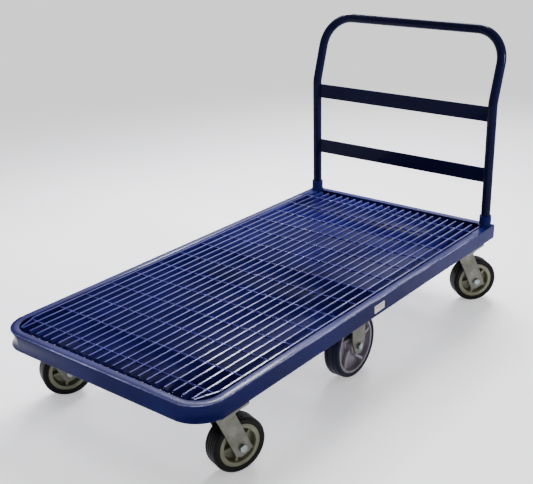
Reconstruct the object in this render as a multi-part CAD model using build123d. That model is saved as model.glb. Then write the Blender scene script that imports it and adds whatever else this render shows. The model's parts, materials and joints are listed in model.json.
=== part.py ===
"""Six-wheel platform truck with a steel bar-grating deck and a lift-out tube handle.

Frame: millimetres, +Z up, origin on the floor under the middle of the whole truck.
-X is the front, with the bent corners; +X is the handle end; -Y is the side with the label.
Each separate piece is written to parts/ as one STEP file named after its node.
"""
from math import cos, hypot, radians, tan
import os

from build123d import *

# ---------------------------------------------------------------- driving dimensions
# Deck frame: a bent channel, open inwards
deck_length = 1524.0
deck_width = 762.0
channel_height = 50.8
channel_flange = 25.4
channel_wall = 4.0
channel_edge_radius = 3.0
front_corner_radius = 90.0
rear_return_length = 124.0

# Grating
bar_pitch = 30.1625
bar_thickness = 4.8
bar_depth = 25.4
bar_front_gap = 40.0
outer_bar_front_gap = 106.0
rod_pitch = 101.6
rod_side = 6.0
rod_drop = 0.4
first_rod_gap = 92.0
corner_band_angle = 20.0
corner_band_lap = 2.0

# Crossmembers, pads and plates under the grating
crossmember_width = 38.0
end_bearer_width = 25.0
crossmember_wall = 2.5
pad_margin = 11.0
rigid_mount_thickness = 8.0

# Handle and its sockets
handle_tube_diameter = 31.75
handle_tube_wall = 2.0
socket_clearance = 0.35
socket_wall = 4.4
socket_stand = 36.0
socket_web_gap = 0.375
socket_bar_gap = 1.375
socket_floor_gap = 0.5
handle_kink_height = 428.0
handle_top_height = 655.0
handle_lean = 18.0
handle_kink_radius = 75.0
handle_corner_radius = 106.0
slat_height = 50.8
slat_thickness = 4.8
lower_slat_base = 153.0
upper_slat_base = 365.0

# Fasteners and fits
running_clearance = 0.05
axle_diameter = 12.7
hex_across_flats = 19.0
hex_head_height = 8.0
hex_nut_height = 10.5
axle_thread_end = 3.0
mount_bolt_diameter = 10.0
mount_head_across_flats = 16.0
mount_head_height = 6.4
mount_nut_height = 8.0
mount_thread_end = 2.0
nut_bearer_gap = 2.25

# Corner swivel casters
corner_wheel_diameter = 152.4
corner_tread_thickness = 16.7
corner_rim_depth = 12.5
corner_hub_diameter = 42.0
caster_plate_x = 110.0
caster_plate_y = 114.0
caster_plate_thickness = 6.35
caster_bolt_x = 80.0
caster_bolt_y = 86.0
caster_plate_edge = 0.5
caster_plate_corner = 6.0
caster_trail = 44.0
crown_wheel_gap = 27.6
crown_diameter = 88.0
crown_thickness = 6.35
race_gap = 10.5
race_ball_gap = 0.4
race_ball_count = 14
race_skirt_wall = 3.0
race_skirt_gap = 2.3
fork_leg_thickness = 5.0
fork_leg_width = 50.0
kingpin_nut_height = 12.0
moving_gap = 0.4

# Middle rigid casters
rigid_wheel_step = 50.8
rigid_tread_thickness = 14.1
rigid_rim_depth = 8.0
rigid_hub_diameter = 54.0
rigid_ahead_of_middle = 26.0
rigid_spaces_in = 2
rigid_plate_x = 118.0
rigid_plate_y = 88.0
rigid_plate_thickness = 6.4
rigid_bolt_x = 94.0
rigid_bolt_pitches = 2
rigid_leg_width = 66.0
rigid_leg_foot_width = 30.0
rigid_leg_foot = 25.0

# Wheels in general
wheel_width = 50.8
wheel_leg_gap = 3.35
hub_leg_gap = 0.8
tread_shoulder = 9.0
rim_side_inset = 2.0
web_thickness = 8.0
spoke_count = 5
spoke_thickness = 7.0
spoke_side_inset = 8.0
bearing_wall = 8.0

# Label plate
label_length = 53.0
label_height = 23.0
label_thickness = 0.4
label_behind_middle = 10.5
label_drop = 27.0
label_tilt = 1.5

# Swivel angles as the truck stands, turned about +Z from +X
swivel_angles = {
    "front_left": -17.5,
    "front_right": -25.0,
    "rear_left": -39.0,
    "rear_right": 39.0,
}

# ---------------------------------------------------------------- derived sizes and places
# Heights: the corner casters set the deck's height, and the middle ones reach up to the grating
crown_bottom = corner_wheel_diameter + crown_wheel_gap
crown_top = crown_bottom + crown_thickness
plate_bottom = crown_top + race_gap
frame_bottom = plate_bottom + caster_plate_thickness
flange_top = frame_bottom + channel_wall
deck_height = frame_bottom + channel_height
grating_bottom = deck_height - bar_depth
rigid_plate_top = grating_bottom - rigid_mount_thickness
rigid_plate_bottom = rigid_plate_top - rigid_plate_thickness
rigid_wheel_diameter = corner_wheel_diameter + rigid_wheel_step
rigid_axle_z = rigid_wheel_diameter / 2

# Sockets and posts
socket_radius = handle_tube_diameter / 2 + socket_clearance + socket_wall
socket_inset = channel_wall + socket_web_gap + socket_radius
handle_lean_run = (handle_top_height - handle_kink_height) * tan(radians(handle_lean))
handle_overhang = handle_lean_run + handle_tube_diameter / 2 - socket_inset

# The deck lies ahead of the origin by half of what the handle hangs over behind it
deck_middle = -handle_overhang / 2
deck_front = deck_middle - deck_length / 2
deck_rear = deck_middle + deck_length / 2
deck_side = deck_width / 2
seam_x = deck_rear - rear_return_length
post_x = deck_rear - socket_inset
post_y = deck_side - socket_inset

# Grating: as many bars and rods as the frame takes
bars_each_side = int((deck_side - channel_flange - bar_thickness / 2) / bar_pitch + 0.5)
bar_count = 2 * bars_each_side
outer_bar_y = (bars_each_side - 0.5) * bar_pitch
bar_rear_gap = socket_inset + socket_radius + socket_bar_gap
rod_count = int((deck_length - bar_rear_gap - first_rod_gap - rod_side) / rod_pitch) + 1

# Casters
nut_corner_radius = mount_head_across_flats / 2 / cos(radians(30))
bearer_end = bar_rear_gap + end_bearer_width
kingpin_from_end = bearer_end + nut_bearer_gap + nut_corner_radius + caster_bolt_x / 2
kingpin_y = deck_side - caster_plate_edge - caster_plate_y / 2
pad_behind_kingpin = caster_plate_x / 2 + pad_margin
pad_inner_y = kingpin_y - caster_plate_y / 2 - pad_margin
rigid_x = deck_middle - rigid_ahead_of_middle
rigid_y = (bars_each_side - rigid_spaces_in) * bar_pitch
rigid_bolt_y = rigid_bolt_pitches * bar_pitch
rigid_mount_half_x = rigid_plate_x / 2 + pad_margin
rigid_mount_half_y = rigid_plate_y / 2 + pad_margin
fork_gap = wheel_width + 2 * wheel_leg_gap
hub_length = fork_gap - 2 * hub_leg_gap
race_ball_radius = race_gap / 2 - race_ball_gap
race_radius = crown_diameter / 2 - race_skirt_wall - race_ball_gap - race_ball_radius


# ---------------------------------------------------------------- small helpers
def save(node, solids):
    """Write one node; a node of several separate pieces holds them side by side."""
    pieces = list(solids)
    shape = pieces[0] if len(pieces) == 1 else Compound(pieces)
    export_step(shape, os.path.join("parts", node + ".step"))


def block(low, high):
    """A box given by its lowest and highest corners."""
    size = [b - a for a, b in zip(low, high)]
    middle = [(a + b) / 2 for a, b in zip(low, high)]
    return Pos(*middle) * Box(*size)


def rod(radius, low, high):
    """An upright cylinder on the Z axis between two heights."""
    return Pos(0, 0, (low + high) / 2) * Cylinder(radius, high - low)


def hex_block(across_flats, low, high, bore=0.0):
    """An upright hexagon on the Z axis between two heights, with an optional bore."""
    profile = RegularPolygon(across_flats / 2, 6, major_radius=False)
    solid = Pos(0, 0, low) * extrude(profile, amount=high - low)
    if bore:
        solid -= rod(bore, low - 1, high + 1)
    return solid.solid()


def along_y(solid):
    """Turn a solid built along +Z so that it lies along +Y."""
    return Rot(-90, 0, 0) * solid


# ---------------------------------------------------------------- deck frame
def frame_outline(inset):
    """The deck's outline, moved inwards: bent corners at the front, square at the rear."""
    sheet = Pos(deck_middle, 0) * Rectangle(deck_length - 2 * inset, deck_width - 2 * inset)
    return fillet(sheet.vertices().group_by(Axis.X)[0], front_corner_radius - inset)


def frame_ring():
    """The whole channel ring, before it is divided at its welded seams."""
    outer = Pos(0, 0, frame_bottom) * extrude(frame_outline(0), amount=channel_height)
    level_faces = outer.faces().sort_by(Axis.Z)
    outer = fillet(level_faces[0].edges() + level_faces[-1].edges(), channel_edge_radius)
    inside_height = channel_height - 2 * channel_wall
    hollow = Pos(0, 0, flange_top) * extrude(frame_outline(channel_wall), amount=inside_height)
    opening = Pos(0, 0, frame_bottom) * extrude(frame_outline(channel_flange), amount=channel_height)
    return outer - hollow - opening


def rear_mitre():
    """The wedge that holds the rear member, cut at 45 degrees through both rear corners."""
    reach = 2 * channel_flange
    wedge = Polyline(
        (deck_rear + reach, -deck_side - reach),
        (deck_rear + reach, deck_side + reach),
        (deck_rear - reach, deck_side - reach),
        (deck_rear - reach, -deck_side + reach),
        close=True,
    )
    return Pos(0, 0, frame_bottom) * extrude(make_face(wedge), amount=channel_height)


def deck_frame():
    socket_room = [
        Pos(post_x, side * post_y, 0) * rod(socket_radius, flange_top, deck_height + 1)
        for side in (-1, 1)
    ]
    ring = frame_ring() - mount_bolt_holes(frame_bottom - 1, flange_top + 1) - socket_room
    ahead = block((deck_front - 1, -deck_side - 1, frame_bottom), (seam_x, deck_side + 1, deck_height))
    behind = ring - ahead
    wedge = rear_mitre()
    save("front_rail", (ring & ahead).solids())
    save("rear_rail", (behind & wedge).solids())
    save("rear_corner_returns", (behind - wedge).solids())


def handle_sockets():
    sockets = []
    for side in (-1, 1):
        tube = rod(socket_radius, flange_top, deck_height + socket_stand)
        tube -= rod(socket_radius - socket_wall, flange_top - 1, deck_height + socket_stand + 1)
        sockets.append(Pos(post_x, side * post_y, 0) * tube.solid())
    save("handle_sockets", sockets)


# ---------------------------------------------------------------- grating
def cross_rod(index, half_length):
    x = deck_front + first_rod_gap + index * rod_pitch
    top = deck_height - rod_drop
    low = (x - rod_side / 2, -half_length, top - rod_side)
    return block(low, (x + rod_side / 2, half_length, top))


def corner_band(side):
    """The short slanting bar that closes the grating beside each bent corner."""
    start_gap = outer_bar_front_gap - corner_band_lap
    length = (start_gap - bar_front_gap) / cos(radians(corner_band_angle))
    bar = block((-length, -bar_thickness / 2, grating_bottom), (0, bar_thickness / 2, deck_height))
    spot = Pos(deck_front + start_gap, side * outer_bar_y, 0)
    return spot * Rot(0, 0, side * corner_band_angle) * bar


def grating():
    full_half = outer_bar_y + bar_thickness / 2
    band_start_to_rod = outer_bar_front_gap - corner_band_lap - first_rod_gap
    first_half = outer_bar_y - band_start_to_rod * tan(radians(corner_band_angle))
    bands = [corner_band(side) for side in (-1, 1)]
    notches = [cross_rod(index, full_half + 1) for index in range(rod_count)]
    bars = []
    for index in range(bar_count):
        outermost = index in (0, bar_count - 1)
        front_end = deck_front + (outer_bar_front_gap if outermost else bar_front_gap)
        y = index * bar_pitch - outer_bar_y
        low = (front_end, y - bar_thickness / 2, grating_bottom)
        high = (deck_rear - bar_rear_gap, y + bar_thickness / 2, deck_height)
        bars.append((block(low, high) - notches - bands).solid())
    first_rod = (cross_rod(0, first_half) - bands).solids().sort_by(SortBy.VOLUME)[-1]
    rods = [cross_rod(index, full_half) for index in range(1, rod_count)]
    save("grating_bearing_bars", bars)
    save("grating_cross_rods", [first_rod] + rods)
    save("grating_corner_bands", [band.solid() for band in bands])


# ---------------------------------------------------------------- under the grating
def caster_places():
    """Each corner caster's name with its kingpin's place."""
    ends = {"front": deck_front + kingpin_from_end, "rear": deck_rear - kingpin_from_end}
    sides = {"left": -kingpin_y, "right": kingpin_y}
    return {e + "_" + s: (x, y) for e, x in ends.items() for s, y in sides.items()}


def inside_frame(solid, inset):
    """Trim a piece to the space inside the frame, a given distance in from its outline."""
    room = Pos(0, 0, frame_bottom) * extrude(frame_outline(inset), amount=channel_height)
    return (solid & room).solid()


def crossmember(low_x, high_x):
    """A rectangular tube from web to web, on the lower flanges and under the grating."""
    wall = crossmember_wall
    tube = block((low_x, -deck_side, flange_top), (high_x, deck_side, grating_bottom))
    bore_low = (low_x + wall, -deck_side - 1, flange_top + wall)
    bore_high = (high_x - wall, deck_side + 1, grating_bottom - wall)
    return inside_frame(tube - block(bore_low, bore_high), channel_wall)


def crossmembers():
    """One tube under each end of the bars, and one beside each set of casters."""
    front_bearer = deck_front + bar_front_gap
    rear_bearer = deck_rear - bar_rear_gap
    front_pad_end = deck_front + kingpin_from_end + pad_behind_kingpin
    rear_pad_end = deck_rear - kingpin_from_end - pad_behind_kingpin
    mount_front = rigid_x - rigid_mount_half_x
    mount_rear = rigid_x + rigid_mount_half_x
    spans = [
        (front_bearer, front_bearer + end_bearer_width),
        (front_pad_end, front_pad_end + crossmember_width),
        (mount_front - crossmember_width, mount_front),
        (mount_rear, mount_rear + crossmember_width),
        (rear_pad_end - crossmember_width, rear_pad_end),
        (rear_bearer - end_bearer_width, rear_bearer),
    ]
    save("deck_crossmembers", [crossmember(low, high) for low, high in spans])


def bolt_places(x, y, spacing_x, spacing_y):
    return [(x + i * spacing_x / 2, y + j * spacing_y / 2) for i in (-1, 1) for j in (-1, 1)]


def mount_bolt_holes(low, high):
    """Every caster mounting hole between two heights."""
    holes = []
    for x, y in caster_places().values():
        for bx, by in bolt_places(x, y, caster_bolt_x, caster_bolt_y):
            holes.append(Pos(bx, by, 0) * rod(mount_bolt_diameter / 2, low, high))
    return holes


def rigid_bolt_places(side):
    return bolt_places(rigid_x, side * rigid_y, rigid_bolt_x, rigid_bolt_y)


def corner_pad(x, y):
    """A pad level with the lower flange, from the end rail's lip to the next crossmember."""
    toward_end = -1 if x < deck_middle else 1
    side = -1 if y < 0 else 1
    ends = sorted((x + toward_end * kingpin_from_end, x - toward_end * pad_behind_kingpin))
    edges = sorted((side * pad_inner_y, side * deck_side))
    pad = block((ends[0], edges[0], frame_bottom), (ends[1], edges[1], flange_top))
    return inside_frame(pad - mount_bolt_holes(frame_bottom - 1, flange_top + 1), channel_flange)


def rigid_mount_plate(side):
    """A thick plate under the bars, which carries one middle caster."""
    y = side * rigid_y
    low = (rigid_x - rigid_mount_half_x, y - rigid_mount_half_y, rigid_plate_top)
    high = (rigid_x + rigid_mount_half_x, y + rigid_mount_half_y, grating_bottom)
    plate = block(low, high)
    for bolt_x, bolt_y in rigid_bolt_places(side):
        hole = rod(mount_bolt_diameter / 2, rigid_plate_top - 1, grating_bottom + 1)
        plate -= Pos(bolt_x, bolt_y, 0) * hole
    return plate.solid()


def pads_and_plates():
    save("corner_caster_pads", [corner_pad(x, y) for x, y in caster_places().values()])
    save("rigid_caster_mount_plates", [rigid_mount_plate(side) for side in (-1, 1)])


def mount_bolt(head_top, nut_base):
    """A hexagon bolt on the Z axis, head down."""
    end = nut_base + mount_nut_height + mount_thread_end
    shank = rod(mount_bolt_diameter / 2, head_top, end)
    return (shank + hex_block(mount_head_across_flats, head_top - mount_head_height, head_top)).solid()


def mount_nut(nut_base):
    radius = mount_bolt_diameter / 2
    return hex_block(mount_head_across_flats, nut_base, nut_base + mount_nut_height, radius)


def mounting_fasteners():
    """The bolts and nuts that hold all six casters."""
    corner_spots = []
    for x, y in caster_places().values():
        corner_spots += bolt_places(x, y, caster_bolt_x, caster_bolt_y)
    rigid_spots = rigid_bolt_places(-1) + rigid_bolt_places(1)
    sets = [(corner_spots, plate_bottom, flange_top), (rigid_spots, rigid_plate_bottom, grating_bottom)]
    bolts, nuts = [], []
    for spots, head_top, nut_base in sets:
        bolts += [Pos(x, y, 0) * mount_bolt(head_top, nut_base) for x, y in spots]
        nuts += [Pos(x, y, 0) * mount_nut(nut_base) for x, y in spots]
    save("caster_mounting_bolts", bolts)
    save("caster_mounting_nuts", nuts)


# ---------------------------------------------------------------- wheels
def wheel_tread(radius, core_radius):
    """The tyre: a thick ring with rounded shoulders, on the Z axis."""
    tread = fillet(Cylinder(radius, wheel_width).edges(), tread_shoulder)
    return (tread - Cylinder(core_radius, 2 * wheel_width)).solid()


def wheel_core(core_radius, rim_depth, hub_radius, bearing_radius):
    """The core: rim ring, thin web, spokes on both sides of it, and hub."""
    rim_width = wheel_width - 2 * rim_side_inset
    mid_rim = core_radius - rim_depth / 2
    core = Cylinder(core_radius, rim_width) - Cylinder(core_radius - rim_depth, rim_width)
    core += Cylinder(mid_rim, web_thickness)
    core += Cylinder(hub_radius, hub_length)
    spoke = Pos(mid_rim / 2, 0, 0) * Box(mid_rim, spoke_thickness, rim_width - 2 * spoke_side_inset)
    for index in range(spoke_count):
        core += Rot(0, 0, 90 + index * 360 / spoke_count) * spoke
    return (core - Cylinder(bearing_radius, 2 * wheel_width)).solid()


def wheel_pieces(diameter, tread_thickness, rim_depth, hub_diameter):
    """Tread, core and bearing of one wheel, on the Y axis about the origin."""
    bore_radius = axle_diameter / 2 + running_clearance
    bearing_radius = bore_radius + bearing_wall
    core_radius = diameter / 2 - tread_thickness
    bearing = Cylinder(bearing_radius, hub_length) - Cylinder(bore_radius, 2 * wheel_width)
    return {
        "tread": along_y(wheel_tread(diameter / 2, core_radius)),
        "core": along_y(wheel_core(core_radius, rim_depth, hub_diameter / 2, bearing_radius)),
        "bearing": along_y(bearing.solid()),
    }


def axle_set():
    """Axle bolt and its lock nut on the Y axis, head towards -Y."""
    face = fork_gap / 2 + fork_leg_thickness
    radius = axle_diameter / 2
    shank = rod(radius, -face, face + hex_nut_height + axle_thread_end)
    bolt = (shank + hex_block(hex_across_flats, -face - hex_head_height, -face)).solid()
    nut = hex_block(hex_across_flats, face, face + hex_nut_height, radius)
    return [along_y(bolt), along_y(nut)]


def fork_leg_pair(profile):
    """Two legs from one side view drawn in the XZ plane."""
    leg = extrude(profile, amount=fork_leg_thickness)
    inner = fork_gap / 2
    return [Pos(0, -inner, 0) * leg, Pos(0, inner + fork_leg_thickness, 0) * leg]


# ---------------------------------------------------------------- swivel casters
def swivel_fork():
    """The swivelling fork: a round crown with a race skirt, and two slanting legs."""
    axle_z = corner_wheel_diameter / 2
    skirt_top = plate_bottom - race_skirt_gap
    crown = rod(crown_diameter / 2, crown_bottom, crown_top)
    skirt = rod(crown_diameter / 2, crown_top, skirt_top)
    skirt -= rod(crown_diameter / 2 - race_skirt_wall, crown_top, skirt_top)

    run, rise = caster_trail, crown_bottom - axle_z
    length = hypot(run, rise)
    half_width = fork_leg_width / 2
    offset_x, offset_z = half_width * rise / length, half_width * run / length
    top_middle = -crown_thickness * run / rise
    half_top = half_width * length / rise
    strap = Polyline(
        (top_middle - half_top, crown_top),
        (top_middle + half_top, crown_top),
        (run + offset_x, axle_z + offset_z),
        (run - offset_x, axle_z - offset_z),
        close=True,
    )
    side_view = Plane.XZ * (make_face(strap) + Pos(run, axle_z) * Circle(half_width))
    fork = crown + skirt + fork_leg_pair(side_view)
    fork -= rod(axle_diameter / 2 + running_clearance, crown_bottom - 1, crown_top + 1)
    pin = along_y(Cylinder(axle_diameter / 2, 2 * fork_gap))
    return (fork - Pos(run, 0, axle_z) * pin).solid()


def top_plate():
    low = (-caster_plate_x / 2, -caster_plate_y / 2, plate_bottom)
    high = (caster_plate_x / 2, caster_plate_y / 2, frame_bottom)
    plate = fillet(block(low, high).edges().filter_by(Axis.Z), caster_plate_corner)
    plate -= rod(axle_diameter / 2, plate_bottom - 1, frame_bottom + 1)
    for x, y in bolt_places(0, 0, caster_bolt_x, caster_bolt_y):
        plate -= Pos(x, y, 0) * rod(mount_bolt_diameter / 2, plate_bottom - 1, frame_bottom + 1)
    return plate.solid()


def race_balls():
    ball = Pos(race_radius, 0, (plate_bottom + crown_top) / 2) * Sphere(race_ball_radius)
    return [Rot(0, 0, index * 360 / race_ball_count) * ball for index in range(race_ball_count)]


def swivel_casters():
    nut_top = crown_bottom - moving_gap
    kingpin = rod(axle_diameter / 2, nut_top - kingpin_nut_height - axle_thread_end, frame_bottom)
    nut = hex_block(hex_across_flats, nut_top - kingpin_nut_height, nut_top, axle_diameter / 2)
    plates, kingpins, nuts, balls = [], [], [], []
    fork, plate = swivel_fork(), top_plate()
    wheel = wheel_pieces(
        corner_wheel_diameter, corner_tread_thickness, corner_rim_depth, corner_hub_diameter
    )
    hub = Pos(caster_trail, 0, corner_wheel_diameter / 2)
    for name, (x, y) in caster_places().items():
        spot = Pos(x, y, 0)
        turned = spot * Rot(0, 0, swivel_angles[name])
        plates.append(spot * plate)
        kingpins.append(spot * kingpin)
        nuts.append(spot * nut)
        balls += [spot * ball for ball in race_balls()]
        save(name + "_fork", [turned * fork])
        save(name + "_axle", [turned * hub * piece for piece in axle_set()])
        for piece, solid in wheel.items():
            save(name + "_wheel_" + piece, [turned * hub * solid])
    save("corner_caster_plates", plates)
    save("corner_kingpins", kingpins)
    save("corner_kingpin_nuts", nuts)
    save("corner_race_balls", balls)


# ---------------------------------------------------------------- rigid casters
def rigid_fork():
    """The fixed fork: a top plate and two upright legs that taper below the axle."""
    half, foot = rigid_leg_width / 2, rigid_leg_foot_width / 2
    shoulder_z, foot_z = rigid_axle_z + rigid_leg_foot, rigid_axle_z - rigid_leg_foot
    outline = Polyline(
        (-half, rigid_plate_bottom),
        (half, rigid_plate_bottom),
        (half, shoulder_z),
        (foot, foot_z),
        (-foot, foot_z),
        (-half, shoulder_z),
        close=True,
    )
    sheet = make_face(outline)
    sheet = fillet(sheet.vertices().group_by(Axis.Y)[0], foot / 2)
    low = (-rigid_plate_x / 2, -rigid_plate_y / 2, rigid_plate_bottom)
    high = (rigid_plate_x / 2, rigid_plate_y / 2, rigid_plate_top)
    fork = block(low, high) + fork_leg_pair(Plane.XZ * sheet)
    for x, y in bolt_places(0, 0, rigid_bolt_x, rigid_bolt_y):
        fork -= Pos(x, y, 0) * rod(mount_bolt_diameter / 2, rigid_plate_bottom - 1, rigid_plate_top + 1)
    pin = along_y(Cylinder(axle_diameter / 2, 2 * fork_gap))
    return (fork - Pos(0, 0, rigid_axle_z) * pin).solid()


def rigid_casters():
    fork = rigid_fork()
    wheel = wheel_pieces(
        rigid_wheel_diameter, rigid_tread_thickness, rigid_rim_depth, rigid_hub_diameter
    )
    hub = Pos(0, 0, rigid_axle_z)
    for name, side, turn in (("middle_left", -1, 0), ("middle_right", 1, 180)):
        turned = Pos(rigid_x, side * rigid_y, 0) * Rot(0, 0, turn)
        save(name + "_fork", [turned * fork])
        save(name + "_axle", [turned * hub * piece for piece in axle_set()])
        for piece, solid in wheel.items():
            save(name + "_wheel_" + piece, [turned * hub * solid])


# ---------------------------------------------------------------- handle
def handle_path():
    """Up one post, back over the kink, across the top and down the other post."""
    foot = flange_top + socket_floor_gap
    kink = deck_height + handle_kink_height
    top = deck_height + handle_top_height
    top_x = post_x + handle_lean_run
    points = [
        (post_x, -post_y, foot),
        (post_x, -post_y, kink),
        (top_x, -post_y, top),
        (top_x, post_y, top),
        (post_x, post_y, kink),
        (post_x, post_y, foot),
    ]
    radii = [handle_kink_radius, handle_corner_radius, handle_corner_radius, handle_kink_radius]
    return FilletPolyline(*points, radius=radii)


def handle():
    path = handle_path()
    start = Plane(origin=path @ 0, z_dir=path % 0)
    outer = sweep(start * Circle(handle_tube_diameter / 2), path=path)
    inner = sweep(start * Circle(handle_tube_diameter / 2 - handle_tube_wall), path=path)
    save("handle_tube", [(outer - inner).solid()])
    for node, base in (("handle_lower_slat", lower_slat_base), ("handle_upper_slat", upper_slat_base)):
        low = (post_x - slat_thickness / 2, -post_y, deck_height + base)
        high = (post_x + slat_thickness / 2, post_y, deck_height + base + slat_height)
        between_posts = (block(low, high) - outer).solids().sort_by(SortBy.VOLUME)[-1]
        save(node, [between_posts])


def label():
    plate = Box(label_length, label_thickness, label_height)
    spot = Pos(deck_middle + label_behind_middle, -deck_side - label_thickness / 2, deck_height - label_drop)
    save("label_plate", [(spot * Rot(0, -label_tilt, 0) * plate).solid()])


def main():
    os.makedirs("parts", exist_ok=True)
    deck_frame()
    handle_sockets()
    grating()
    crossmembers()
    pads_and_plates()
    mounting_fasteners()
    swivel_casters()
    rigid_casters()
    handle()
    label()


main()
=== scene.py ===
"""Looks of a six-wheel platform truck: blue gloss frame, bar grating, lift-out handle, six casters.

Everything is in metres, in the frame's own axes: +Z up, -X the front, +X the handle end.
"""
import json
import math
import random

import bpy
import bmesh
from mathutils import Matrix, Vector


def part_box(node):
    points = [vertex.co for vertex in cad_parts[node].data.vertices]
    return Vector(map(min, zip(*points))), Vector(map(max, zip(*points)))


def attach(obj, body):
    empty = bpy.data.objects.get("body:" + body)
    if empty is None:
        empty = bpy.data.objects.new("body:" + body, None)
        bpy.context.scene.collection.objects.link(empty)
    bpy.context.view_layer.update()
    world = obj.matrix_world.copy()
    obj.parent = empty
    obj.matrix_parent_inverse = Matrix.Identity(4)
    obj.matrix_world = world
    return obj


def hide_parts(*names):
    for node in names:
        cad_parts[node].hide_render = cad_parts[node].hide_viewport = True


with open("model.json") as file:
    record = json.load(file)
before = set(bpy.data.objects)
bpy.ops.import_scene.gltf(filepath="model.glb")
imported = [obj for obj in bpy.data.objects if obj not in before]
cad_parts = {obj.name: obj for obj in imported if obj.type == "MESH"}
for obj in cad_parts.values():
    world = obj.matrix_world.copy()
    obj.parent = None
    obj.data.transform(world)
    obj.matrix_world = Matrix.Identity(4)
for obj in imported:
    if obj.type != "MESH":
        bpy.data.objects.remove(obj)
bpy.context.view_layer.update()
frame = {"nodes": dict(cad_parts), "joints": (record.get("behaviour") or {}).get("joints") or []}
random.seed(7)

MM = 0.001
CORNERS = ("front_left", "front_right", "rear_left", "rear_right")
MIDDLES = ("middle_left", "middle_right")
joints = {joint["name"]: joint for joint in frame["joints"]}


# ---------------------------------------------------------------- reading the frame
def cad_solids(node):
    """Boxes (low, high) of the separate solids of one CAD node, in order along X then Y."""
    work = bmesh.new()
    work.from_mesh(frame["nodes"][node].data)
    bmesh.ops.remove_doubles(work, verts=work.verts, dist=1e-6)
    unseen = set(work.verts)
    boxes = []
    while unseen:
        stack = [unseen.pop()]
        low, high = stack[0].co.copy(), stack[0].co.copy()
        while stack:
            vertex = stack.pop()
            low = Vector(map(min, low, vertex.co))
            high = Vector(map(max, high, vertex.co))
            for edge in vertex.link_edges:
                other = edge.other_vert(vertex)
                if other in unseen:
                    unseen.remove(other)
                    stack.append(other)
        boxes.append((low, high))
    work.free()
    return sorted(boxes, key=lambda box: (round(box[0].x, 4), round(box[0].y, 4)))


def placed(name, position):
    """Turn a caster made along the axes the way its axle points, and move it to a position."""
    axis = joints[name + "_wheel_spin"]["axis"]
    turn = math.atan2(-axis[0], axis[1])
    return Matrix.Translation(position) @ Matrix.Rotation(turn, 4, "Z")


def wheel_place(name):
    """The matrix that takes a wheel made about the origin, on the Y axis, to its place."""
    return placed(name, joints[name + "_wheel_spin"]["pos_m"])


def kingpin_place(name):
    """The matrix that takes a fork made about the kingpin's line, from the floor up, to its place."""
    x, y, _ = joints[name + "_swivel_turn"]["pos_m"]
    return placed(name, (x, y, 0))


def middle_of(low, high):
    """The matrix that takes a piece made on the Z axis to the middle of a box, seen from above."""
    return Matrix.Translation(((low.x + high.x) / 2, (low.y + high.y) / 2, 0))


# ---------------------------------------------------------------- materials
class Nodes:
    """A material's node tree, with short calls for the nodes used here."""

    def __init__(self, name):
        self.material = bpy.data.materials.new(name)
        self.material.use_nodes = True
        self.tree = self.material.node_tree
        self.shader = self.tree.nodes["Principled BSDF"]
        coordinates = self.tree.nodes.new("ShaderNodeTexCoord")
        self.place = coordinates.outputs["Object"]

    def link(self, source, target):
        """Join an output socket to an input socket."""
        self.tree.links.new(source, target)

    def set(self, **values):
        """Uniform values on the shader's own sockets."""
        for name, value in values.items():
            self.shader.inputs[name.replace("_", " ")].default_value = value

    def stretched(self, scale):
        """Object coordinates, scaled differently along each axis."""
        mapping = self.tree.nodes.new("ShaderNodeMapping")
        mapping.inputs["Scale"].default_value = scale
        self.link(self.place, mapping.inputs["Vector"])
        return mapping.outputs["Vector"]

    def noise(self, scale, detail=3.0, roughness=0.55, vector=None):
        """Cloudy noise from 0 to 1; scale is in features per metre."""
        node = self.tree.nodes.new("ShaderNodeTexNoise")
        node.inputs["Scale"].default_value = scale
        node.inputs["Detail"].default_value = detail
        node.inputs["Roughness"].default_value = roughness
        self.link(vector or self.place, node.inputs["Vector"])
        return node.outputs["Fac"]

    def ramp(self, factor, stops):
        """A colour read off (position, colour) stops by a factor socket."""
        node = self.tree.nodes.new("ShaderNodeValToRGB")
        elements = node.color_ramp.elements
        while len(elements) < len(stops):
            elements.new(0.5)
        for element, (position, colour) in zip(elements, stops):
            element.position = position
            element.color = (*colour, 1.0)
        self.link(factor, node.inputs["Fac"])
        return node.outputs["Color"]

    def between(self, factor, low, high, start=0.0, end=1.0):
        """Take the factor's range start to end to the range low to high."""
        node = self.tree.nodes.new("ShaderNodeMapRange")
        node.inputs["From Min"].default_value = start
        node.inputs["From Max"].default_value = end
        node.inputs["To Min"].default_value = low
        node.inputs["To Max"].default_value = high
        self.link(factor, node.inputs["Value"])
        return node.outputs["Result"]

    def mix(self, factor, first, second):
        """Mix two colours, each a socket or a plain colour, by a factor socket."""
        node = self.tree.nodes.new("ShaderNodeMix")
        node.data_type = "RGBA"
        self.link(factor, node.inputs[0])
        for socket, value in ((node.inputs[6], first), (node.inputs[7], second)):
            if isinstance(value, tuple):
                socket.default_value = (*value, 1.0)
            else:
                self.link(value, socket)
        return node.outputs[2]

    def bump(self, height, strength, distance, below=None):
        """A normal bumped by a height socket, on top of another bump where one is given."""
        node = self.tree.nodes.new("ShaderNodeBump")
        node.inputs["Strength"].default_value = strength
        node.inputs["Distance"].default_value = distance
        self.link(height, node.inputs["Height"])
        if below is not None:
            self.link(below, node.inputs["Normal"])
        return node.outputs["Normal"]

    def finish(self, colour, roughness, normal=None, **values):
        """Join the shader's main inputs, set its uniform values and give back the material."""
        self.link(colour, self.shader.inputs["Base Color"])
        self.link(roughness, self.shader.inputs["Roughness"])
        if normal is not None:
            self.link(normal, self.shader.inputs["Normal"])
        self.set(**values)
        return self.material


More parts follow.
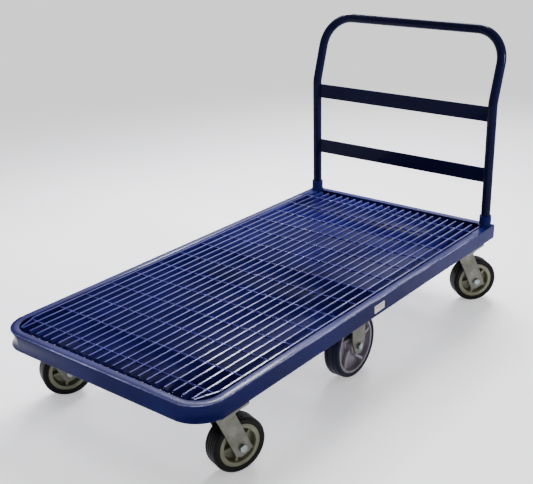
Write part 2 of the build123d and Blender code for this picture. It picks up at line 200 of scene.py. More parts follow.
def blue_paint(name, deep, light, coat, shine):
    """Gloss enamel, slightly uneven, with the fine orange peel of sprayed paint."""
    n = Nodes(name)
    colour = n.ramp(n.noise(5.0, 4.0), ((0.3, deep), (0.7, light)))
    worn = tuple(0.8 * channel + 0.03 for channel in light)
    dust = n.between(n.noise(38.0, 6.0, 0.7), 0.0, 0.16, 0.58, 0.9)
    peel = n.bump(n.noise(420.0, 2.0), 0.015, 0.0006)
    runs = n.bump(n.noise(30.0, 2.0), 0.03, 0.0012, peel)
    n.link(runs, n.shader.inputs["Coat Normal"])
    n.set(Coat_Weight=coat, Coat_Roughness=0.05, Specular_IOR_Level=shine)
    n.set(Specular_Tint=(0.65, 0.68, 1.0, 1.0))
    return n.finish(n.mix(dust, colour, worn), n.between(n.noise(22.0, 2.0), 0.18, 0.28), runs)


def edge_highlight_paint():
    """Painted highlight along the rail's outer top edge: a lighter, slightly metallic lilac-blue, in patches
    and flecks.
    """
    n = Nodes("edge_highlight_paint")
    highlight_patch = n.between(n.noise(9.0, 5.0, 0.65), 0.0, 1.0, 0.44, 0.60)
    highlight_fleck = n.ramp(n.noise(160.0, 3.0), ((0.35, (0.14, 0.15, 0.36)), (0.7, (0.38, 0.39, 0.58))))
    colour = n.mix(highlight_patch, (0.035, 0.042, 0.16), highlight_fleck)
    roughness = n.between(n.noise(120.0, 3.0), 0.2, 0.4)
    return n.finish(colour, roughness, n.bump(n.noise(300.0, 3.0), 0.05, 0.0003), Metallic=0.2)


def seam_shade():
    """Painted shade for the gap of a butt seam: a near-black hairline, unevenly dark."""
    n = Nodes("seam_shade")
    shade_noise = n.noise(300.0, 4.0)
    colour = n.ramp(shade_noise, ((0.3, (0.0015, 0.002, 0.008)), (0.8, (0.006, 0.007, 0.020))))
    return n.finish(colour, n.between(shade_noise, 0.4, 0.7), n.bump(shade_noise, 0.2, 0.0003), Specular_IOR_Level=0.02)


def zinc_plate():
    """Dull zinc plating: cloudy, faintly yellow-grey, with fine scratches."""
    n = Nodes("zinc_plate")
    clouds = ((0.3, (0.080, 0.081, 0.064)), (0.55, (0.120, 0.118, 0.098)), (0.75, (0.170, 0.168, 0.145)))
    cloud = n.ramp(n.noise(26.0, 5.0, 0.6), clouds)
    speck = n.between(n.noise(190.0, 4.0, 0.65), 0.0, 0.6, 0.5, 0.75)
    scratch = n.noise(30.0, 3.0, 0.6, n.stretched((1.0, 1.0, 14.0)))
    grain = n.bump(n.noise(700.0, 2.0), 0.12, 0.0003)
    colour = n.mix(speck, cloud, (0.070, 0.068, 0.058))
    normal = n.bump(scratch, 0.10, 0.0004, grain)
    return n.finish(colour, n.between(scratch, 0.34, 0.56), normal, Metallic=0.75, Specular_IOR_Level=0.5)


def bright_steel():
    """Clean zinc-bright fasteners."""
    n = Nodes("bright_steel")
    colour = n.ramp(n.noise(60.0, 4.0), ((0.3, (0.19, 0.21, 0.21)), (0.7, (0.32, 0.345, 0.345))))
    roughness = n.between(n.noise(160.0, 4.0), 0.28, 0.48)
    return n.finish(colour, roughness, n.bump(n.noise(500.0, 2.0), 0.08, 0.0002), Metallic=0.9)


def bearing_steel():
    """Bare ground steel, with faint turning marks."""
    n = Nodes("bearing_steel")
    rings = n.noise(90.0, 3.0, 0.5, n.stretched((1.0, 12.0, 1.0)))
    colour = n.ramp(rings, ((0.3, (0.30, 0.30, 0.31)), (0.7, (0.46, 0.46, 0.47))))
    return n.finish(colour, n.between(rings, 0.2, 0.36), n.bump(rings, 0.06, 0.0002), Metallic=1.0)


def rubber(name, dark, light, gloss):
    """Tread rubber: near black, with a fine grain and a little floor dust."""
    n = Nodes(name)
    clean = n.ramp(n.noise(14.0, 5.0), ((0.35, dark), (0.75, light)))
    dust = n.between(n.noise(70.0, 7.0, 0.75), 0.0, 0.22, 0.52, 0.85)
    colour = n.mix(dust, clean, (0.018, 0.017, 0.016))
    roughness = n.between(n.noise(45.0, 4.0), gloss, gloss + 0.2)
    grain = n.bump(n.noise(900.0, 3.0), 0.18, 0.0003)
    normal = n.bump(n.noise(120.0, 3.0), 0.10, 0.0005, grain)
    return n.finish(colour, roughness, normal, Specular_IOR_Level=0.10)


def moulded_core():
    """Olive-grey moulded polyolefin with a fine mould texture."""
    n = Nodes("moulded_core")
    clean = n.ramp(n.noise(18.0, 5.0), ((0.3, (0.088, 0.089, 0.050)), (0.7, (0.132, 0.131, 0.080))))
    smudge = n.between(n.noise(55.0, 6.0, 0.7), 0.0, 0.4, 0.55, 0.85)
    colour = n.mix(smudge, clean, (0.040, 0.037, 0.027))
    roughness = n.between(n.noise(90.0, 4.0), 0.36, 0.55)
    grain = n.bump(n.noise(650.0, 3.0), 0.14, 0.0003)
    normal = n.bump(n.noise(70.0, 2.0), 0.06, 0.0006, grain)
    return n.finish(colour, roughness, normal, Specular_IOR_Level=0.5)


def cast_core():
    """Cast wheel core under a thin purple-grey paint, with the pebbled skin of a sand casting."""
    n = Nodes("cast_core")
    clean = n.ramp(n.noise(24.0, 5.0), ((0.3, (0.135, 0.115, 0.140)), (0.7, (0.235, 0.210, 0.250))))
    stain = n.between(n.noise(60.0, 6.0, 0.7), 0.0, 0.45, 0.55, 0.85)
    colour = n.mix(stain, clean, (0.085, 0.068, 0.060))
    roughness = n.between(n.noise(70.0, 4.0), 0.30, 0.52)
    grain = n.bump(n.noise(480.0, 3.0), 0.25, 0.0005)
    normal = n.bump(n.noise(90.0, 2.0), 0.12, 0.0009, grain)
    return n.finish(colour, roughness, normal, Metallic=0.35, Specular_IOR_Level=0.5)


def bare_weld():
    """Heat-tinted weld metal that the paint missed."""
    n = Nodes("bare_weld")
    colour = n.ramp(n.noise(160.0, 4.0), ((0.3, (0.10, 0.065, 0.040)), (0.7, (0.30, 0.23, 0.15))))
    roughness = n.between(n.noise(240.0, 4.0), 0.35, 0.65)
    return n.finish(colour, roughness, n.bump(n.noise(500.0, 3.0), 0.35, 0.0004), Metallic=0.4)


def label_print():
    """Blank vinyl label: off-white, faintly soiled."""
    n = Nodes("label_print")
    colour = n.ramp(n.noise(40.0, 5.0), ((0.3, (0.50, 0.49, 0.47)), (0.7, (0.66, 0.65, 0.63))))
    roughness = n.between(n.noise(120.0, 3.0), 0.30, 0.45)
    return n.finish(colour, roughness, n.bump(n.noise(260.0, 2.0), 0.08, 0.0002))


def label_ink(name, colour):
    """A plain printed block on the label, faded in places."""
    n = Nodes(name)
    faded = tuple(0.75 * channel + 0.12 for channel in colour)
    ink = n.ramp(n.noise(300.0, 3.0), ((0.35, colour), (0.8, faded)))
    return n.finish(ink, n.between(n.noise(120.0, 3.0), 0.35, 0.5))


def pale_floor():
    """A matt, nearly white floor that glows a little, as under a bright ceiling."""
    n = Nodes("pale_floor")
    tone = n.ramp(n.noise(0.6, 3.0), ((0.3, (0.86, 0.86, 0.86)), (0.7, (0.88, 0.88, 0.88))))
    n.link(tone, n.shader.inputs["Base Color"])
    n.link(tone, n.shader.inputs["Emission Color"])
    n.set(Roughness=0.9, Specular_IOR_Level=0.1, Emission_Strength=0.55)
    return n.material


# Three copies of one blue enamel, each given the brightness its parts show under the light. The grating's
# copy is the lightest, as painted light; the frame's is darker and the handle's darkest, as painted shade.
LIT_PAINT = blue_paint("blue_paint", (0.013, 0.012, 0.100), (0.021, 0.021, 0.160), 0.06, 0.045)
SHADED_FRAME_PAINT = blue_paint("shaded_frame_paint", (0.0042, 0.0050, 0.047), (0.0070, 0.0086, 0.076), 0.03, 0.028)
SHADED_HANDLE_PAINT = blue_paint("shaded_handle_paint", (0.0026, 0.0028, 0.015), (0.0042, 0.0045, 0.024), 0.04, 0.03)
# Painted highlight for the rail's outer top edge.
EDGE_HIGHLIGHT = edge_highlight_paint()
# Painted shade for the gaps at the seams.
SEAM_SHADE = seam_shade()
ZINC = zinc_plate()
BRIGHT = bright_steel()
BEARING = bearing_steel()
CORNER_TREAD = rubber("corner_tread", (0.0018, 0.0018, 0.002), (0.004, 0.0039, 0.0039), 0.36)
MIDDLE_TREAD = rubber("middle_tread", (0.0016, 0.0020, 0.0110), (0.0030, 0.0038, 0.0240), 0.30)
CORE = moulded_core()
CAST = cast_core()
WELD = bare_weld()
LABEL = label_print()


# ---------------------------------------------------------------- mesh tools
UPRIGHT = Matrix.Rotation(math.pi / 2, 4, "X")


class Shape:
    """Vertices and faces gathered for one piece."""

    def __init__(self):
        self.vertices = []
        self.faces = []

    def skin(self, rings, wrap=False):
        """Join rings of equal length into one closed surface, capped or wrapped round."""
        start, size = len(self.vertices), len(rings[0])
        for ring in rings:
            self.vertices.extend(Vector(point) for point in ring)
        count = len(rings)
        for a in range(count if wrap else count - 1):
            b = (a + 1) % count
            for i in range(size):
                j = (i + 1) % size
                quad = (a * size + i, a * size + j, b * size + j, b * size + i)
                self.faces.append(tuple(start + index for index in quad))
        if not wrap:
            self.faces.append(tuple(start + i for i in reversed(range(size))))
            self.faces.append(tuple(start + (count - 1) * size + i for i in range(size)))
        return self

    def lathe(self, profile, segments):
        """Turn a closed profile of (radius, along) points about the Y axis."""
        rings = []
        for step in range(segments):
            angle = math.tau * step / segments
            rings.append([(r * math.cos(angle), y, r * math.sin(angle)) for r, y in profile])
        return self.skin(rings, wrap=True)

    def prism(self, outline, low, high):
        """Extrude an outline of (x, z) points along Y."""
        return self.skin([[(x, low, z) for x, z in outline], [(x, high, z) for x, z in outline]])

    def tube(self, path, radii, sides):
        """A round bar along a path, with one radius for each point."""
        up, aside = Vector((0, 0, 1)), Vector((0, 1, 0))
        rings = []
        for index, point in enumerate(path):
            ahead = Vector(path[min(index + 1, len(path) - 1)])
            behind = Vector(path[max(index - 1, 0)])
            along = (ahead - behind).normalized()
            first = along.cross(up)
            if first.length < 0.05:
                first = along.cross(aside)
            first.normalize()
            second = along.cross(first)
            r = radii[index]
            ring = []
            for step in range(sides):
                angle = math.tau * step / sides
                ring.append(Vector(point) + r * (math.cos(angle) * first + math.sin(angle) * second))
            rings.append(ring)
        return self.skin(rings)

    def bead(self, path, radius, pitch):
        """A weld bead along a path, rippled at its pitch and rounded off at both ends."""
        points_per_ripple, sides = 3, 8
        length = sum((Vector(b) - Vector(a)).length for a, b in zip(path, path[1:]))
        step = pitch / points_per_ripple
        count = max(6, int(length / step))
        points = resample(path, count)
        radii = []
        for index in range(count + 1):
            wave = 0.16 * math.sin(math.tau * index / points_per_ripple)
            ripple = 1 + wave + random.uniform(-0.07, 0.07)
            end = min(index, count - index) / 2.0
            radii.append(radius * ripple * min(1.0, 0.25 + 0.75 * end))
        return self.tube(points, radii, sides)

    def lump(self, centre, size, segments=8):
        """A small rounded lump, such as a tack weld."""
        rings = []
        for level in (-0.97, -0.7, -0.25, 0.25, 0.7, 0.97):
            across = math.sqrt(1 - level * level)
            ring = []
            for step in range(segments):
                angle = math.tau * step / segments
                wobble = 1 + random.uniform(-0.08, 0.08)
                x = centre[0] + wobble * size[0] * across * math.cos(angle)
                y = centre[1] + wobble * size[1] * across * math.sin(angle)
                ring.append((x, y, centre[2] + size[2] * level))
            rings.append(ring)
        return self.skin(rings)

    def hexagon(self, across, low, high, chamfer_low, chamfer_high):
        """A hexagon bar on the Z axis, with its corners turned off at the chamfered ends."""
        sides = 48
        flat = across / 2
        turned = 0.96 * flat
        slope = math.tan(math.radians(30))

        def corner(angle):
            """The hexagon's radius at an angle."""
            return flat / math.cos((angle + math.pi / 6) % (math.pi / 3) - math.pi / 6)

        angles = [math.tau * step / sides for step in range(sides)]

        def ring(z, chamfered, way):
            """The hexagon at a height, with its corners dropped where it is chamfered."""
            outer = []
            for angle in angles:
                r = corner(angle)
                drop = (r - turned) * slope if chamfered else 0.0
                outer.append((r * math.cos(angle), r * math.sin(angle), z - way * drop))
            return outer

        def face(z):
            """The turned round face at an end."""
            return [(turned * math.cos(a), turned * math.sin(a), z) for a in angles]

        rings = [face(low), ring(low, chamfer_low, -1), ring(high, chamfer_high, 1), face(high)]
        return self.skin(rings)

    def moved(self, matrix):
        """Move the whole shape by a matrix."""
        self.vertices = [matrix @ vertex for vertex in self.vertices]
        return self

    def add(self, other, matrix=None):
        """Copy another shape into this one, moved by a matrix."""
        start = len(self.vertices)
        place = matrix or Matrix.Identity(4)
        self.vertices.extend(place @ vertex for vertex in other.vertices)
        self.faces.extend(tuple(start + index for index in face) for face in other.faces)
        return self


def resample(path, count):
    """Points spaced evenly along a line of straight runs."""
    points = [Vector(point) for point in path]
    lengths = [(b - a).length for a, b in zip(points, points[1:])]
    total = sum(lengths)
    result = []
    for index in range(count + 1):
        rest = total * index / count
        run = 0
        while run < len(lengths) - 1 and rest > lengths[run]:
            rest -= lengths[run]
            run += 1
        result.append(points[run].lerp(points[run + 1], min(1.0, rest / lengths[run])))
    return result


def arc(centre, radius, start, end, steps):
    """Points (a, b) on a circle between two angles in degrees."""
    angles = [math.radians(start + (end - start) * i / steps) for i in range(steps + 1)]
    return [(centre[0] + radius * math.cos(a), centre[1] + radius * math.sin(a)) for a in angles]


def piece(name, shape, material, body, replaces=(), bevel=0.0, smooth=40):
    """Make an object from a shape, give it its finish and let it ride on its body."""
    mesh = bpy.data.meshes.new(name)
    mesh.from_pydata([tuple(vertex) for vertex in shape.vertices], [], shape.faces)
    mesh.validate()
    work = bmesh.new()
    work.from_mesh(mesh)
    bmesh.ops.recalc_face_normals(work, faces=work.faces)
    work.to_mesh(mesh)
    work.free()
    obj = bpy.data.objects.new(name, mesh)
    bpy.context.scene.collection.objects.link(obj)
    mesh.materials.append(material)
    soften(obj, bevel, smooth)
    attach(obj, body)
    if replaces:
        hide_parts(*replaces)
    return obj


def soften(obj, bevel, smooth=40):
    """Smooth shading with sharp edges kept, and rounded edges where a bevel is given."""
    mesh = obj.data
    mesh.polygons.foreach_set("use_smooth", [True] * len(mesh.polygons))
    mesh.set_sharp_from_angle(angle=math.radians(smooth))
    if bevel:
        modifier = obj.modifiers.new("Rounded edges", "BEVEL")
        modifier.width = bevel
        modifier.segments = 2
        modifier.limit_method = "ANGLE"
        modifier.angle_limit = math.radians(40)
        modifier.harden_normals = True


def dress(node, material):
    """Give a CAD node its finish."""
    obj = frame["nodes"][node]
    obj.data.materials.clear()
    obj.data.materials.append(material)


# ---------------------------------------------------------------- deck frame
rail_low, rail_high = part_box("front_rail")
deck_top = rail_high.z
rail_bottom = rail_low.z
deck_front = rail_low.x
seam_x = rail_high.x
deck_side = rail_high.y
deck_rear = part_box("rear_rail")[1].x
channel_height = deck_top - rail_bottom
channel_flange = 25.4 * MM
channel_wall = 4.0 * MM
edge_radius = 3.0 * MM
corner_radius = 90.0 * MM
web_bow = 9.0 * MM
EDGE_STEPS = 5
WEB_STEPS = 10


def rail_section(bow):
    """The channel's section as (inset, height) points; bow pulls the web inwards."""
    top, flange, wall, edge = channel_height, channel_flange, channel_wall, edge_radius
    lip = 0.8 * MM
    fillet = 2.5 * MM

    def web(low, high, inset):
        """Points up one face of the web, between its ends."""
        points = []
        for step in range(1, WEB_STEPS):
            share = step / WEB_STEPS
            points.append((inset + bow * math.sin(math.pi * share) ** 0.8, low + (high - low) * share))
        return points

    outline = arc((edge, edge), edge, 270, 180, EDGE_STEPS)
    outline += web(edge, top - edge, 0.0)
    outline += arc((edge, top - edge), edge, 180, 90, EDGE_STEPS)
    outline += arc((flange - lip, top - lip), lip, 90, 0, 2)
    outline += arc((flange - lip, top - wall + lip), lip, 0, -90, 2)
    outline += arc((wall + fillet, top - wall - fillet), fillet, 90, 180, 3)
    outline += reversed(web(wall + fillet, top - wall - fillet, wall))
    outline += arc((wall + fillet, wall + fillet), fillet, 180, 270, 3)
    outline += arc((flange - lip, wall - lip), lip, 90, 0, 2)
    outline += arc((flange - lip, lip), lip, 0, -90, 2)
    return outline


def rail_stations():
    """Places round the bent rail: point, inward direction and share of the corner's bow."""
    stations = []
    straight_steps, arc_steps = 6, 28
    bend_x = deck_front + corner_radius
    for side in (-1, 1):
        part = []
        for step in range(straight_steps):
            x = seam_x + (bend_x - seam_x) * step / straight_steps
            part.append((Vector((x, side * deck_side, 0)), Vector((0, -side, 0)), 0.0))
        centre = Vector((bend_x, side * (deck_side - corner_radius), 0))
        for step in range(arc_steps + 1):
            share = step / arc_steps
            angle = math.radians(90 + 90 * share)
            out = Vector((math.cos(angle), side * math.sin(angle), 0))
            bow = math.sin(math.pi * share) ** 0.6 if 0 < share < 1 else 0.0
            part.append((centre + out * corner_radius, -out, bow))
        stations += part if side < 0 else list(reversed(part))
    return stations


def bent_rail():
    """The front channel, swept round both corners, with a painted highlight along its outer top edge."""
    rings = []
    for point, inward, bow in rail_stations():
        base = point + Vector((0, 0, rail_bottom))
        section = rail_section(web_bow * bow)
        rings.append([base + inward * inset + Vector((0, 0, z)) for inset, z in section])
    shape = Shape().skin(rings)
    rail = piece("front_rail_bent", shape, SHADED_FRAME_PAINT, "chassis", ["front_rail"], smooth=50)
    rail.data.materials.append(EDGE_HIGHLIGHT)
    section_size = len(rings[0])
    top_edge_start = EDGE_STEPS + WEB_STEPS
    # The faces round the outer top edge take the painted highlight.
    highlight_faces = range(top_edge_start + 1, top_edge_start + 4)
    for face in rail.data.polygons:
        if len(face.vertices) == 4 and face.index % section_size in highlight_faces:
            face.material_index = 1


def frame_welds():
    """Butt weld and a strip of painted shade at each seam, and weld dashes along the rear corners' top edge.
    """
    shape, seam_shades = Shape(), Shape()
    sunk, edge_sunk = 0.6 * MM, 1.7 * MM
    foot, head, depth = 1.8 * MM, 1.4 * MM, 0.1 * MM
    dash, gap = 9 * MM, 5 * MM
    low, high = rail_bottom + 2 * MM, deck_top - 2 * MM
    outline = [(seam_x - foot, low), (seam_x + foot, low), (seam_x + head, high), (seam_x - head, high)]
    for side in (-1, 1):
        # A thin near-black strip standing just proud of the side: painted shade in the seam's gap.
        line = Shape().prism(outline, -depth, depth)
        seam_shades.add(line, Matrix.Translation((0, side * deck_side, 0)))
        outer_y = side * (deck_side - sunk)
        inner_y = side * (deck_side - channel_flange + 1 * MM)
        top = deck_top - sunk
        shape.bead([(seam_x, outer_y, top), (seam_x, inner_y, top)], 1.4 * MM, 4 * MM)
        edge_y = side * (deck_side - edge_sunk)
        edge_z = deck_top - edge_sunk
        x = seam_x + gap
        while x < deck_rear - dash:
            length = dash * random.uniform(0.75, 1.15)
            shape.bead([(x, edge_y, edge_z), (x + length, edge_y, edge_z)], 1.5 * MM, 3 * MM)
            x += dash + gap
    piece("frame_welds", shape, SHADED_FRAME_PAINT, "chassis", smooth=60)
    piece("frame_seam_shades", seam_shades, SEAM_SHADE, "chassis", smooth=60)


def crossmembers():
    """Square tubes with rolled corners; the front one's ends follow the bowed web."""
    shape = Shape()
    rolled = 3.0 * MM
    clear = channel_wall + web_bow + 1 * MM
    centre = (deck_front + corner_radius, deck_side - corner_radius)
    for low, high in cad_solids("deck_crossmembers"):
        outline = []
        corners = ((high.x, high.z, 0), (low.x, high.z, 90), (low.x, low.z, 180), (high.x, low.z, 270))
        for cx, cz, start in corners:
            x = cx - rolled if cx == high.x else cx + rolled
            z = cz - rolled if cz == high.z else cz + rolled
            outline += arc((x, z), rolled, start, start + 90, 4)
        rings = []
        for side in (-1, 1):
            ring = []
            for x, z in outline:
                reach = side * (high.y if side > 0 else low.y)
                if x < centre[0]:
                    reach = centre[1] + math.sqrt((corner_radius - clear) ** 2 - (x - centre[0]) ** 2)
                ring.append((x, side * reach, z))
            rings.append(ring)
        shape.skin(rings)
    piece("crossmembers_rolled", shape, SHADED_FRAME_PAINT, "chassis", ["deck_crossmembers"])


# ---------------------------------------------------------------- grating
bars = cad_solids("grating_bearing_bars")
rods = cad_solids("grating_cross_rods")
bar_centres = sorted({round((low.y + high.y) / 2, 5) for low, high in bars})
bar_pitch = 30.1625 * MM


def twisted_rods():
    """The cross rods are square bars, given a quarter turn between one bearing bar and the next."""
    half, round_off = 2.6 * MM, 1.1 * MM
    step = 3 * MM
    middle = (half - round_off, half - round_off)
    section = []
    for quarter in range(4):
        turn = math.pi / 2 * quarter
        for a, b in arc(middle, round_off, 0, 90, 2):
            section.append((a * math.cos(turn) - b * math.sin(turn), a * math.sin(turn) + b * math.cos(turn)))
    below_top = 0.1 * MM
    edge_drop = half * math.sqrt(2) - round_off * (math.sqrt(2) - 1) + below_top
    shape = Shape()
    for low, high in rods:
        x = (low.x + high.x) / 2
        z = deck_top - edge_drop
        count = int((high.y - low.y) / step)
        rings = []
        for index in range(count + 1):
            y = low.y + (high.y - low.y) * index / count
            angle = math.pi / 2 * (y - bar_centres[0]) / bar_pitch
            across, up = math.cos(angle), math.sin(angle)
            rings.append([(x + a * across - b * up, y, z + a * up + b * across) for a, b in section])
        shape.skin(rings)
    piece("cross_rods_twisted", shape, LIT_PAINT, "chassis", ["grating_cross_rods"], smooth=50)


def rod_welds():
    """Each rod is forged into each bar, which leaves a low mound at every crossing."""
    shape = Shape()
    for low, high in rods:
        x = (low.x + high.x) / 2
        for y in bar_centres:
            if not low.y - 1 * MM < y < high.y + 1 * MM:
                continue
            size = [random.uniform(3.8, 5.0) * MM, random.uniform(3.0, 3.8) * MM, 1.5 * MM]
            shape.lump((x + random.uniform(-0.8, 0.8) * MM, y, deck_top - 1.0 * MM), size)
    piece("rod_welds", shape, LIT_PAINT, "chassis", smooth=80)


def grating_tacks():
    """Blue tack welds where the outermost bars meet the corner bands."""
    shape = Shape()
    outer = [max(bars, key=lambda bar: side * bar[0].y) for side in (-1, 1)]
    for low, high in outer:
        y = (low.y + high.y) / 2
        shape.lump((low.x + 2 * MM, y, deck_top - 1.5 * MM), (7 * MM, 4.4 * MM, 2.3 * MM), 12)
        shape.lump((low.x + 9 * MM, y, deck_top - 2 * MM), (5 * MM, 4.0 * MM, 2.4 * MM), 12)
    piece("grating_tacks", shape, LIT_PAINT, "chassis", smooth=80)


def rim_tacks():
    """Heat-tinted tack welds along the front flange's inner edge, one to each bar."""
    shape = Shape()
    edge_x = deck_front + channel_flange
    for y in bar_centres[3:-3]:
        centre = (edge_x, y + random.uniform(-1.5, 1.5) * MM, deck_top - 1.6 * MM)
        shape.lump(centre, (random.uniform(1.6, 2.4) * MM, random.uniform(2.0, 3.2) * MM, 1.9 * MM))
    piece("rim_tacks", shape, WELD, "chassis", smooth=80)


# ---------------------------------------------------------------- sockets and handle
sockets = cad_solids("handle_sockets")
lower_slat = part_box("handle_lower_slat")
upper_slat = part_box("handle_upper_slat")


def ring_bead(shape, x, y, z, ring_radius, radius, pitch):
    """A weld bead that runs once round an upright post."""
    steps = 48
    points = []
    for step in range(steps + 1):
        angle = math.tau * step / steps
        points.append((x + ring_radius * math.cos(angle), y + ring_radius * math.sin(angle), z))
    return shape.bead(points, radius, pitch)


def handle_sockets():
    """Sockets with a turned mouth, and the weld round each foot."""
    shape, welds = Shape(), Shape()
    wall = 4.4 * MM
    mouth = 1.2 * MM
    for low, high in sockets:
        x, y = (low.x + high.x) / 2, (low.y + high.y) / 2
        outer = (high.x - low.x) / 2
        inner = outer - wall
        profile = [(outer, low.z), (outer, high.z - mouth)]
        profile += [(outer - mouth * 0.35, high.z - mouth * 0.35), (outer - mouth, high.z)]
        profile += [(inner + mouth * 0.6, high.z), (inner, high.z - mouth * 0.6), (inner, low.z)]
        shape.add(Shape().lathe(profile, 64), middle_of(low, high) @ UPRIGHT)
        ring_bead(welds, x, y, deck_top + 0.6 * MM, outer + 0.8 * MM, 3.0 * MM, 5 * MM)
    piece("handle_sockets_turned", shape, SHADED_FRAME_PAINT, "chassis", ["handle_sockets"], smooth=50)
    piece("socket_welds", welds, SHADED_FRAME_PAINT, "chassis", smooth=80)


def slat_welds():
    """A fillet weld up each end of each slat, on both faces."""
    shape = Shape()
    off, short = 0.8 * MM, 2 * MM
    for low, high in (lower_slat, upper_slat):
        for y in (low.y, high.y):
            for x in (low.x - off, high.x + off):
                shape.bead([(x, y, low.z + short), (x, y, high.z - short)], 2.2 * MM, 4 * MM)
    piece("slat_welds", shape, SHADED_HANDLE_PAINT, "handle", smooth=80)


# ---------------------------------------------------------------- casters
corner_wheel_radius = joints["front_left_wheel_spin"]["pos_m"][2]
middle_wheel_radius = joints["middle_left_wheel_spin"]["pos_m"][2]
wheel_half = 25.4 * MM
hub_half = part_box("middle_left_wheel_core")[1].y - joints["middle_left_wheel_spin"]["pos_m"][1]
fork_half_gap = 28.75 * MM
leg_thickness = 5.0 * MM
axle_radius = 6.35 * MM
bearing_radius = axle_radius + 8.05 * MM


def groove(outer, y, width, depth):
    """Profile points of one round-bottomed groove in a tread."""
    half = width / 2
    shape = ((-1.0, 0.0), (-0.7, 0.75), (0.0, 1.0), (0.7, 0.75), (1.0, 0.0))
    return [(outer - down * depth, y + across * half) for across, down in shape]


def tread_shape(outer, core, grooves, shoulder, crown):
    """A tyre with rounded shoulders, a moulded ring on each side wall and grooves round it."""
    half = wheel_half
    groove_width, groove_depth = 2.6 * MM, 1.9 * MM
    right = arc((outer - shoulder, half - shoulder), shoulder, 0, 90, 8)
    ring = core + 0.35 * (outer - core)
    right += [(ring + 2.2 * MM, half), (ring + 1.4 * MM, half - 0.9 * MM), (ring, half - 0.9 * MM)]
    right += [(core + 1.0 * MM, half - 0.4 * MM), (core, half - 1.2 * MM)]
    left = [(r, -y) for r, y in reversed(right)]
    middle = []
    for y in grooves:
        middle += groove(outer - crown * abs(y) / half, y, groove_width, groove_depth)
    return Shape().lathe(left + middle + right, 96)


def core_lathe(core, rim_depth, hub, web_half):
    """Rim ring, drafted web and hub, turned as one."""
    rim_half = wheel_half - 2 * MM
    inner = core - rim_depth
    draft = 2.0 * MM
    chamfer = 1.2 * MM
    side = [
        (bearing_radius, hub_half),
        (hub - chamfer, hub_half),
        (hub, hub_half - chamfer),
        (hub + draft, web_half + 2.5 * MM),
        (hub + draft + 2.5 * MM, web_half),
        (inner - draft - 2.0 * MM, web_half),
        (inner - draft, web_half + 2.0 * MM),
        (inner, rim_half - chamfer),
        (inner + chamfer, rim_half),
        (core - chamfer, rim_half),
        (core, rim_half - 0.5 * chamfer),
    ]
    other = [(r, -y) for r, y in reversed(side)]
    return Shape().lathe(side + other, 96)


def rib_section(top):
    """A rib's section from -1 to 1 along (Y, width), narrowed to a share at its top and bottom."""
    return ((-1, -top), (-0.8, -1), (0.8, -1), (1, -top), (1, top), (0.8, 1), (-0.8, 1), (-1, top))


def straight_spoke(start, end, angle, half_high, foot, tip):
    """A drafted radial rib across both faces of the web, a little slimmer halfway."""
    waist = (foot + tip) / 2 * 0.85
    rings = []
    for r, width in ((start, foot), ((start + end) / 2, waist), (end, tip)):
        rings.append([(r, y * half_high, z * width / 2) for y, z in rib_section(0.7)])
    return Shape().skin(rings).moved(Matrix.Rotation(-angle, 4, "Y"))


def curved_spoke(start, end, angle, half_high, width, sweep):
    """A broad rib that bends round as it runs out to the rim, wider at both ends."""
    steps = 10
    rings = []
    for step in range(steps + 1):
        share = step / steps
        r = start + (end - start) * share
        turn = angle + sweep * math.sin(math.pi * share * 0.5)
        w = width * (0.5 + 0.9 * (share - 0.45) ** 2)
        high = half_high * (1.0 - 0.22 * math.sin(math.pi * share))
        out = Vector((math.cos(turn), 0, math.sin(turn)))
        across = Vector((-math.sin(turn), 0, math.cos(turn)))
        section = rib_section(0.6)
        rings.append([out * r + across * (a * w) + Vector((0, y * high, 0)) for y, a in section])
    return Shape().skin(rings)


def wheel(name, tread, tread_finish, rim, rim_finish):
    """One wheel's tread and core, in its place; the bearing stays as the CAD has it."""
    place = wheel_place(name)
    tread.moved(place)
    rim.moved(place)
    body = name + "_wheel"
    piece(name + "_tyre", tread, tread_finish, body, [name + "_wheel_tread"], smooth=35)
    piece(name + "_rim", rim, rim_finish, body, [name + "_wheel_core"], 0.5 * MM, 35)
    dress(name + "_wheel_bearing", BEARING)


def spoke_angles(first):
    """Five spokes' angles, from the first one's in degrees."""
    return [math.radians(first + 72 * index) for index in range(5)]


def corner_wheel(name):
    """A corner caster's wheel: five straight ribs and a tread with four grooves."""
    core = corner_wheel_radius - 16.7 * MM
    rim_depth, hub, web_half = 12.5 * MM, 21 * MM, 4 * MM
    half_high, foot, tip = 18 * MM, 12 * MM, 10 * MM
    shoulder, crown = 8 * MM, 0.8 * MM
    rim = core_lathe(core, rim_depth, hub, web_half)
    for angle in spoke_angles(-29):
        rim.add(straight_spoke(hub - 2 * MM, core - rim_depth + 3 * MM, angle, half_high, foot, tip))
    grooves = [-14 * MM, -5 * MM, 5 * MM, 14 * MM]
    tread = tread_shape(corner_wheel_radius, core, grooves, shoulder, crown)
    wheel(name, tread, CORNER_TREAD, rim, CORE)


def middle_wheel(name):
    """A middle caster's wheel: five curved spokes and a tread with two grooves."""
    core = middle_wheel_radius - 14.1 * MM
    rim_depth, hub, web_half = 8 * MM, 27 * MM, 5 * MM
    half_high, width, sweep = 20 * MM, 11 * MM, math.radians(32)
    shoulder, crown = 9 * MM, 0.6 * MM
    rim = core_lathe(core, rim_depth, hub, web_half)
    for angle in spoke_angles(200):
        rim.add(curved_spoke(hub - 3 * MM, core - rim_depth + 3 * MM, angle, half_high, width, sweep))
    tread = tread_shape(middle_wheel_radius, core, [-9 * MM, 9 * MM], shoulder, crown)
    wheel(name, tread, MIDDLE_TREAD, rim, CAST)


